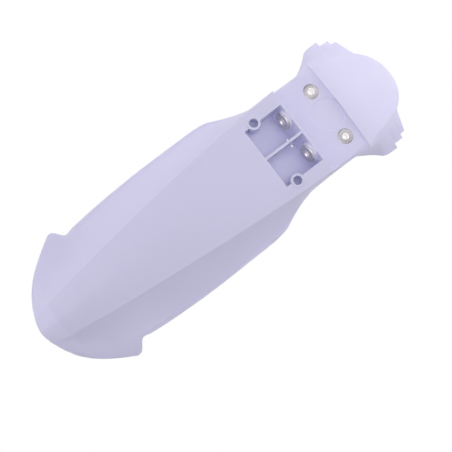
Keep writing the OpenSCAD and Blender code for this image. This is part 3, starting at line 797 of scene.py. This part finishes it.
def two_tints(nodes, links, bsdf, share, tints):
    """A base colour that goes from one tint to the other."""
    tint = nodes.new("ShaderNodeMix")
    tint.data_type = "RGBA"
    links.new(share, tint.inputs["Factor"])
    tint.inputs["A"].default_value, tint.inputs["B"].default_value = tints
    links.new(tint.outputs["Result"], bsdf.inputs["Base Color"])


def fine_surface(nodes, links, bsdf, height, strength, depth, edge_radius):
    """A fine bump, in metres, on edges that look slightly rounded."""
    edge = nodes.new("ShaderNodeBevel")
    edge.samples = 6
    edge.inputs["Radius"].default_value = edge_radius
    bump = nodes.new("ShaderNodeBump")
    bump.inputs["Strength"].default_value = strength
    bump.inputs["Distance"].default_value = depth
    links.new(height, bump.inputs["Height"])
    links.new(edge.outputs["Normal"], bump.inputs["Normal"])
    links.new(bump.outputs["Normal"], bsdf.inputs["Normal"])


def plastic():
    mat, nodes, links, bsdf = material("moulding_plastic")
    coords = nodes.new("ShaderNodeTexCoord")
    cloud = noise(nodes, links, coords, scale=9, detail=2, rough=0.55)
    grain = noise(nodes, links, coords, scale=1600, detail=4, rough=0.6)
    wave = noise(nodes, links, coords, scale=34, detail=2, rough=0.5)
    two_tints(nodes, links, bsdf, ramp(nodes, links, cloud, (0.3, 0.7), (0, 1)), PLASTIC_TINTS)
    links.new(ramp(nodes, links, wave, (0.3, 0.7), (0.46, 0.54)), bsdf.inputs["Roughness"])
    bsdf.inputs["IOR"].default_value = 1.49
    bsdf.inputs["Subsurface Weight"].default_value = 0.3
    bsdf.inputs["Subsurface Radius"].default_value = (1.0, 1.0, 1.0)
    bsdf.inputs["Subsurface Scale"].default_value = 0.004
    fine_surface(nodes, links, bsdf, grain, strength=0.12, depth=0.00012, edge_radius=0.0006)
    return mat


def steel(name, dark, light, smooth, rough):
    """A turned metal that is mottled between two greys and two roughnesses."""
    mat, nodes, links, bsdf = material(name)
    coords = nodes.new("ShaderNodeTexCoord")
    spots = noise(nodes, links, coords, scale=420, detail=5, rough=0.65)
    fine = noise(nodes, links, coords, scale=2400, detail=3, rough=0.6)
    tints = (dark * 1.02, dark * 0.98, dark, 1), (light * 1.02, light * 0.99, light, 1)
    two_tints(nodes, links, bsdf, ramp(nodes, links, spots, (0.35, 0.7), (0, 1)), tints)
    links.new(ramp(nodes, links, spots, (0.3, 0.7), (smooth, rough)), bsdf.inputs["Roughness"])
    bsdf.inputs["Metallic"].default_value = 1.0
    fine_surface(nodes, links, bsdf, fine, strength=0.2, depth=0.00005, edge_radius=0.0003)
    return mat


def dress(obj, *mats):
    obj.data.materials.clear()
    for mat in mats:
        obj.data.materials.append(mat)


# The moulding

half_rows, row_cuts = shell_rows()
outer_grid = np.array([whole_row(row) for row in rounded_rows(half_rows, row_cuts)])
moulding = shell_object(outer_grid, inner_surface(outer_grid))
add_block_and_bosses(moulding)
cut_pocket(moulding)
cut_holes(moulding)
cut_relief(moulding)
finish_mesh(moulding, SHELL_SMOOTH)
dress(moulding, plastic())
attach(moulding, "root")
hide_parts("mudguard")


# Collars and sleeves

def metal_piece(name, profile, base, tilt, node, mats, mouth_r):
    """A turned insert; the faces within mouth_r of its axis are its bore, which takes the second material, a
    lighter copy of the steel that paints in the bright reflection the bore shows.
    """
    obj = lathe(name, profile, base, tilt, METAL_FACETS)
    finish_mesh(obj, METAL_SMOOTH)
    dress(obj, *mats)
    axis = Matrix.Rotation(math.radians(tilt), 3, "X") @ Vector((0, 0, 1))
    # The bore faces take the lighter steel: a painted reflection of the white that the bore walls mirror
    for p in obj.data.polygons:
        if axis.cross(p.center * MM_PER_M - Vector(base)).length < mouth_r:
            p.material_index = 1
    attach(obj, "root")
    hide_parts(node)
    return obj


def collar_profile():
    bore, tube, flange = COLLAR_BORE / 2, COLLAR_TUBE_D / 2, COLLAR_FLANGE_D / 2
    return [(bore, -COLLAR_LEN), (tube, -COLLAR_LEN), (tube, -COLLAR_FLANGE_T), (flange, -COLLAR_FLANGE_T),
            (flange, -METAL_BEVEL / 2), (flange - COLLAR_RIM, METAL_BEVEL),
            (bore + COLLAR_MOUTH, METAL_BEVEL / 2), (bore, METAL_BEVEL / 2 - COLLAR_MOUTH)]


def sleeve_profile():
    bore, tube, flange = SLEEVE_BORE / 2, SLEEVE_TUBE_D / 2, SLEEVE_FLANGE_D / 2
    face, end = SLEEVE_BOSS_H, SLEEVE_BOSS_H + SLEEVE_FLANGE_T
    quarter = [math.radians(90 * k / CURVE) for k in range(CURVE + 1)]
    x, z = flange - METAL_BEVEL, end - METAL_BEVEL
    corner = [(x + METAL_BEVEL * math.cos(a), z + METAL_BEVEL * math.sin(a)) for a in quarter]
    return ([(bore, 0), (tube, 0), (tube, face), (flange, face)] + corner
            + [(bore + SLEEVE_MOUTH, end), (bore, end - SLEEVE_MOUTH)])


collar_steel = steel("metal_dull", dark=0.2, light=0.34, smooth=0.28, rough=0.36)
# A lighter copy of the same steel for the bores, which paints in the reflection that makes them look bright
painted_bore_reflection = steel("metal_bore_painted_reflection", dark=0.8, light=0.92, smooth=0.3, rough=0.4)
sleeve_steel = steel("metal_turned", dark=0.4, light=0.75, smooth=0.3, rough=0.45)
for side, word in zip(SIDES, ("left", "right")):
    metal_piece(f"collar_{word}", collar_profile(), collar_base(side), 0, f"rear_{word}_collar",
                (collar_steel, painted_bore_reflection), COLLAR_BORE / 2 + COLLAR_MOUTH)
    metal_piece(f"sleeve_{word}", sleeve_profile(), sleeve_base(side), SLEEVE_TILT, f"front_{word}_sleeve",
                (sleeve_steel, painted_bore_reflection), SLEEVE_BORE / 2 + SLEEVE_MOUTH)


# Floor and world, which show and mirror as white but light the part only weakly

FLOOR_Z, FLOOR_REACH = -152, 6000


def seen_or_mirrored(nodes, links):
    """One where a ray comes from the camera or from a glossy surface."""
    path = nodes.new("ShaderNodeLightPath")
    either = nodes.new("ShaderNodeMath")
    either.operation = "MAXIMUM"
    links.new(path.outputs["Is Camera Ray"], either.inputs[0])
    links.new(path.outputs["Is Glossy Ray"], either.inputs[1])
    return either.outputs["Value"]


def white_when_seen(nodes, links, plain, white, surface):
    """Shows the white shader where it is seen or mirrored, and the plain one elsewhere."""
    blend = nodes.new("ShaderNodeMixShader")
    links.new(seen_or_mirrored(nodes, links), blend.inputs["Fac"])
    links.new(plain, blend.inputs[1])
    links.new(white, blend.inputs[2])
    links.new(blend.outputs["Shader"], surface)


def white_floor():
    mat, nodes, links, bsdf = material("floor_white")
    bsdf.inputs["Base Color"].default_value = (0.86, 0.86, 0.87, 1)
    bsdf.inputs["Roughness"].default_value = 0.8
    glow = nodes.new("ShaderNodeEmission")
    glow.inputs["Color"].default_value = (1, 1, 1, 1)
    glow.inputs["Strength"].default_value = 1.0
    white_when_seen(nodes, links, bsdf.outputs["BSDF"], glow.outputs["Emission"],
                    nodes["Material Output"].inputs["Surface"])
    return mat


def white_world():
    world = bpy.data.worlds.new("studio")
    world.use_nodes = True
    nodes, links = world.node_tree.nodes, world.node_tree.links
    fill = nodes["Background"]
    fill.inputs["Color"].default_value = (0.9, 0.94, 1.0, 1)
    fill.inputs["Strength"].default_value = 0.03
    white = nodes.new("ShaderNodeBackground")
    white.inputs["Color"].default_value = (1, 1, 1, 1)
    white.inputs["Strength"].default_value = 1.0
    white_when_seen(nodes, links, fill.outputs["Background"], white.outputs["Background"],
                    nodes["World Output"].inputs["Surface"])
    return world


corners = [(x * FLOOR_REACH, y * FLOOR_REACH, FLOOR_Z) for x, y in ((-1, -1), (1, -1), (1, 1), (-1, 1))]
floor = new_object("floor", corners, [(0, 1, 2, 3)])
dress(floor, white_floor())
scene.world = white_world()


# Lights, all square softboxes that aim at one point; distances are in metres

STUDIO_TINT = (0.972, 0.92, 1.0)
LIGHT_GAIN = 1.06
AIM = Vector((0, 0.15, -0.05))
FAR, BROAD_SIDE = 2.0, 1.4
NEAR, SMALL_SIDE = 1.0, 0.7
SOFTBOXES = [           # name, azimuth, height in degrees, watts, distance, side
    ("light_top", 90, 89.9, 6.8, FAR, BROAD_SIDE),
    ("light_over", 90, 89.9, 0.8, 0.95, 0.6),
    ("light_front_high", 90, 50, 4.3, FAR, BROAD_SIDE),
    ("light_front_right_high", 45, 50, 4.1, FAR, BROAD_SIDE),
    ("light_front_left_high", 135, 50, 3.9, FAR, BROAD_SIDE),
    ("light_rear", 270, 35, 1.8, NEAR, SMALL_SIDE),
    ("light_rear_low", 270, 12, 1.9, NEAR, SMALL_SIDE),
    ("light_rear_right", 300, 12, 1.2, NEAR, SMALL_SIDE),
    ("light_right", 0, 12, 2.6, NEAR, SMALL_SIDE),
    ("light_front_right", 45, 12, 1.1, NEAR, SMALL_SIDE),
    ("light_front", 90, 12, 0.7, NEAR, SMALL_SIDE),
    ("light_left", 180, 12, 1.3, NEAR, SMALL_SIDE),
    ("light_rear_left", 210, 12, 0.6, NEAR, SMALL_SIDE),
    ("light_spark", 283, 58, 0.3, 1.12, 0.1)]


def softbox(name, azimuth, height, watts, distance, side_length):
    a, e = math.radians(azimuth), math.radians(height)
    place = AIM + distance * Vector((math.cos(a) * math.cos(e), math.sin(a) * math.cos(e), math.sin(e)))
    light = bpy.data.lights.new(name, "AREA")
    light.shape = "SQUARE"
    light.size = side_length
    light.energy = watts * LIGHT_GAIN
    light.color = STUDIO_TINT
    obj = bpy.data.objects.new(name, light)
    scene.collection.objects.link(obj)
    obj.location = place
    obj.rotation_mode = "QUATERNION"
    obj.rotation_quaternion = (AIM - place).to_track_quat("-Z", "Y")
    obj.visible_camera = False


for row in SOFTBOXES:
    softbox(*row)


# Camera, fitted to the photograph; its place is in metres

CAMERA_PLACE = (-0.07026, 0.515916, 1.090942)
CAMERA_TURN = (0.4395725, -0.0456674, -0.1225395, -0.8886363)
CAMERA_LENS, CAMERA_SENSOR = 65.146, 36

lens = bpy.data.cameras.new("camera")
lens.sensor_width = CAMERA_SENSOR
lens.lens = CAMERA_LENS
lens.clip_start, lens.clip_end = 0.05, 20
camera = bpy.data.objects.new("camera", lens)
scene.collection.objects.link(camera)
camera.location = CAMERA_PLACE
camera.rotation_mode = "QUATERNION"
camera.rotation_quaternion = Quaternion(CAMERA_TURN)
scene.camera = camera

scene.view_settings.view_transform = "Standard"
